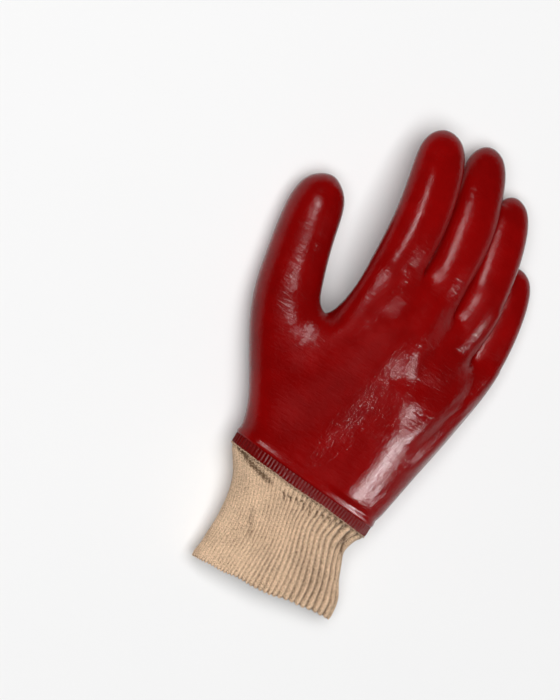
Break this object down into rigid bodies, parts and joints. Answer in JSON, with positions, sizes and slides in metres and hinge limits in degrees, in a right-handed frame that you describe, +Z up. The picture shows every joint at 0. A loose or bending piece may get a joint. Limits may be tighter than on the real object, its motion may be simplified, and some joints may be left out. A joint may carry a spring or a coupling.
{
  "type": "pvc coated work glove",
  "caption": "Right-hand work glove dipped in glossy dark red PVC over a cotton lining, with a ribbed knit wrist in undyed yarn, lying palm down.",
  "frame": {"origin": "middle of the glove's bounding box, on the ground it lies on", "axes": "+Y towards the fingertips, -X the thumb's side, +X the little finger's side, +Z up, out of the back of the hand"},
  "size_m": [0.1572, 0.2752, 0.0482],
  "materials": {
    "pvc_coat": "glossy dipped PVC, deep red, the cotton beneath just showing through as fine relief",
    "rib_knit": "matt ribbed cotton knit in undyed cream yarn"
  },
  "bodies": {
    "root": {"coated_hand": "pvc_coat", "knit_cuff": "rib_knit"}
  },
  "joints": []
}
